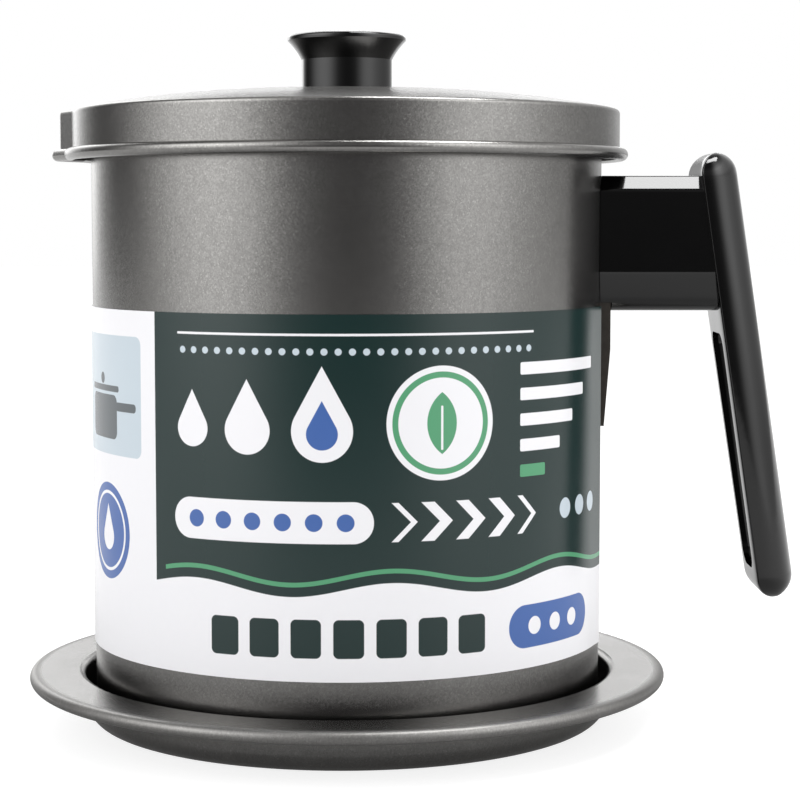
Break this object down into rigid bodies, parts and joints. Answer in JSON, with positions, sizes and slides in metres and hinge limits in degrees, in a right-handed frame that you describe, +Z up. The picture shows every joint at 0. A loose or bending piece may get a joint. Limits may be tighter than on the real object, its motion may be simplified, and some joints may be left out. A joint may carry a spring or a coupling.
{
  "type": "oil strainer pot",
  "caption": "Coated steel frying-oil pot with pour lip, lift-out strainer, domed lid with knob, leaning side handle, paper band and drip tray.",
  "frame": {"origin": "on the pot's axis, in the underside of the drip tray, where the part stands", "axes": "+Z up along the pot's axis, +X towards the handle, -X towards the pour lip"},
  "size_m": [0.1822, 0.1512, 0.1623],
  "materials": {
    "coated_steel": "non-stick coating, warm dark grey with a fine metallic fleck, satin",
    "bracket_steel": "thin dark brown-grey coating over steel strap, satin",
    "phenolic": "black moulded phenolic, glossy",
    "printed_card": "coated card, printed, light sheen",
    "mesh_steel": "fine woven and pressed stainless steel",
    "fixing_steel": "zinc-plated steel",
    "brass": "turned brass"
  },
  "bodies": {
    "tray": {"drip_tray": "coated_steel"},
    "pot": {"pot_body": "coated_steel", "paper_band": "printed_card", "handle_bracket": "bracket_steel", "handle": "phenolic", "handle_screw": "fixing_steel", "handle_lock_washer": "fixing_steel"},
    "strainer": {"strainer_cup": "coated_steel", "strainer_mesh": "mesh_steel", "strainer_mesh_ring": "mesh_steel"},
    "lid": {"lid": "coated_steel", "knob": "phenolic", "knob_insert": "brass", "knob_screw": "fixing_steel", "knob_lock_washer": "fixing_steel"}
  },
  "joints": [
    {"name": "pot_lift", "type": "slide", "parent": "tray", "child": "pot", "axis": [0, 0, 1], "range_m": [0, 0.05]},
    {"name": "strainer_lift", "type": "slide", "parent": "pot", "child": "strainer", "axis": [0, 0, 1], "range_m": [0, 0.06]},
    {"name": "lid_lift", "type": "slide", "parent": "strainer", "child": "lid", "axis": [0, 0, 1], "range_m": [0, 0.05]}
  ]
}
